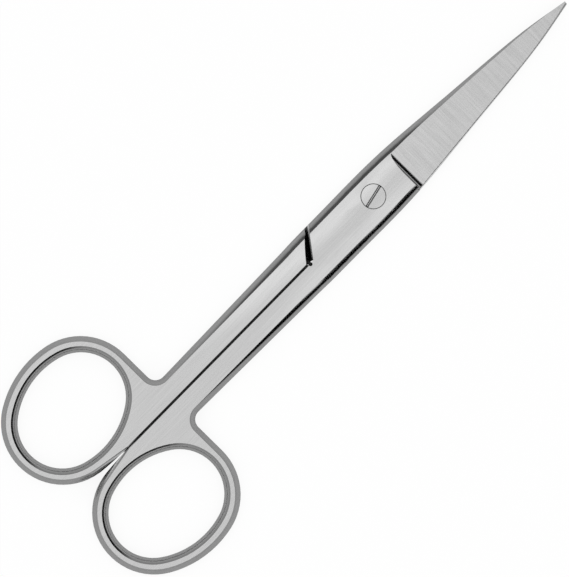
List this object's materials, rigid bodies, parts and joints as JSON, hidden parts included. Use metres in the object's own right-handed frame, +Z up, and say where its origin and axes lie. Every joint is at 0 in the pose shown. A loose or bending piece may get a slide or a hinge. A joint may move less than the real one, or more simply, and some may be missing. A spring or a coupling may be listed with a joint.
{
  "type": "operating scissors",
  "caption": "Straight surgical scissors: two lapped steel halves with oval finger rings and ground pointed blades, joined by a flush slotted pivot screw.",
  "frame": {"origin": "on the centre line of the closed scissors, abreast of the pivot axis, on the plane that the scissors rest on", "axes": "+X along the closed scissors to the tips, +Y towards the ring of the lower half, +Z up out of the slotted side of the pivot screw"},
  "size_m": [0.1446, 0.0534, 0.0042],
  "materials": {
    "half_steel": "satin-polished stainless steel",
    "screw_steel": "satin-polished stainless steel, ground flush"
  },
  "bodies": {
    "lower": {"lower_half": "half_steel", "pivot_screw": "screw_steel"},
    "upper": {"upper_half": "half_steel"}
  },
  "joints": [
    {"name": "pivot", "type": "hinge", "parent": "lower", "child": "upper", "pos_m": [0, 0.0003, 0.0021], "axis": [0, 0, 1], "range_deg": [0, 135]}
  ]
}
